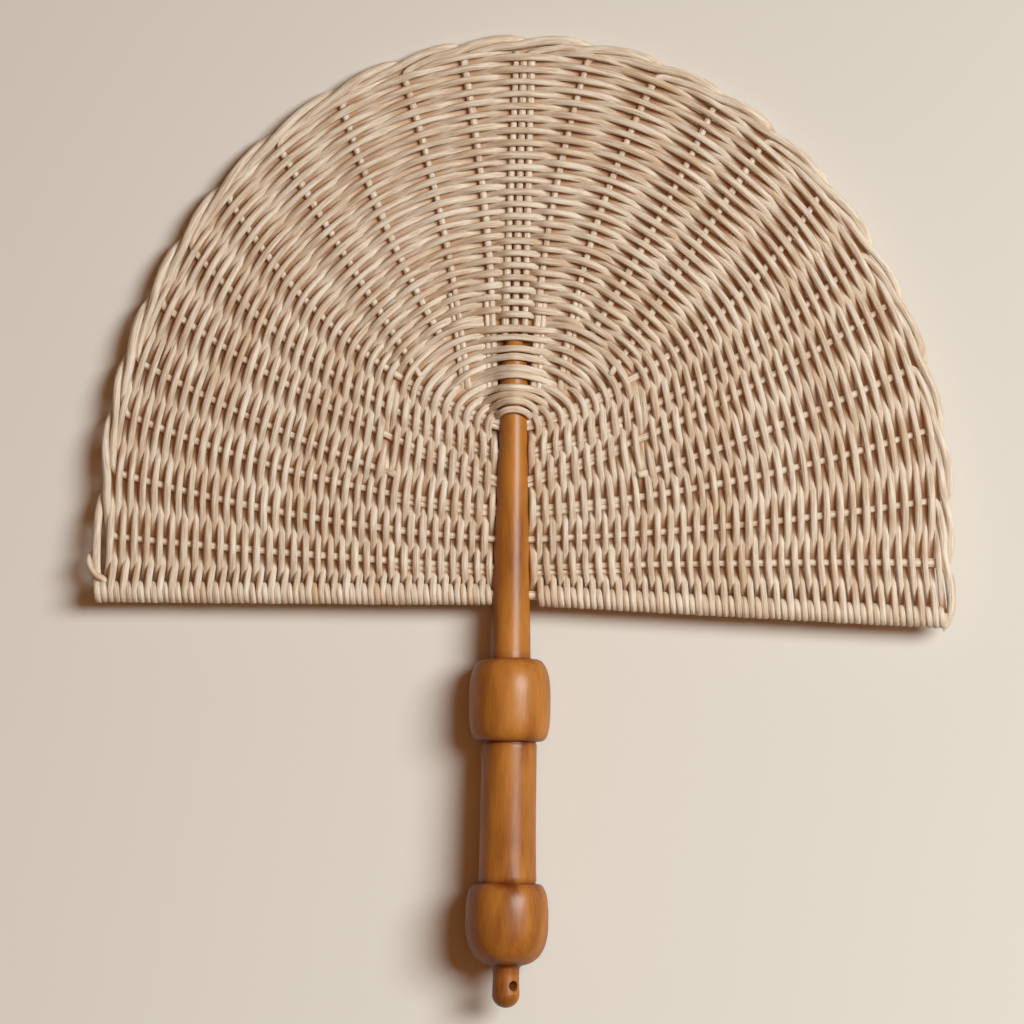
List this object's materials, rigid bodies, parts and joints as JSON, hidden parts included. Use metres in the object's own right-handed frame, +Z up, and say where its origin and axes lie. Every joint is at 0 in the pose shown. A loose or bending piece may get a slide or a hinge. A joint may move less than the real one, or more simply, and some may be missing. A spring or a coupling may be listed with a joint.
{
  "type": "woven reed hand fan",
  "caption": "Half-round hand fan woven from round reed over radiating stakes, with a rolled border, on a turned and lacquered wooden handle drilled for hanging.",
  "frame": {"origin": "on the table, under the middle of the fan's bounding box, with the fan lying face up", "axes": "+X to the right across the blade, +Y from the handle towards the top of the blade, +Z up, out of the blade's face"},
  "size_m": [0.3436, 0.3876, 0.0374],
  "materials": {
    "reed": "natural dry rattan, matt to satin",
    "turned_wood": "orange-brown gloss lacquer"
  },
  "bodies": {
    "root": {"handle": "turned_wood", "edge_rod": "reed", "cross_stake_1": "reed", "cross_stake_2": "reed", "cross_stake_3": "reed", "cross_stake_4": "reed", "cross_stake_5": "reed", "cross_stake_6": "reed", "left_lower_by_stake": "reed", "left_upper_by_stake": "reed", "left_outer_stake": "reed", "left_middle_stake": "reed", "left_inner_stake": "reed", "right_lower_by_stake": "reed", "right_upper_by_stake": "reed", "right_outer_stake": "reed", "right_middle_stake": "reed", "right_inner_stake": "reed", "left_centre_stake": "reed", "middle_centre_stake": "reed", "right_centre_stake": "reed", "weaver_01": "reed", "weaver_02": "reed", "weaver_03": "reed", "weaver_04": "reed", "weaver_05": "reed", "weaver_06": "reed", "weaver_07": "reed", "weaver_08": "reed", "weaver_09": "reed", "weaver_10": "reed", "weaver_11": "reed", "weaver_12": "reed", "weaver_13": "reed", "weaver_14": "reed", "weaver_15": "reed", "weaver_16": "reed"}
  },
  "joints": []
}
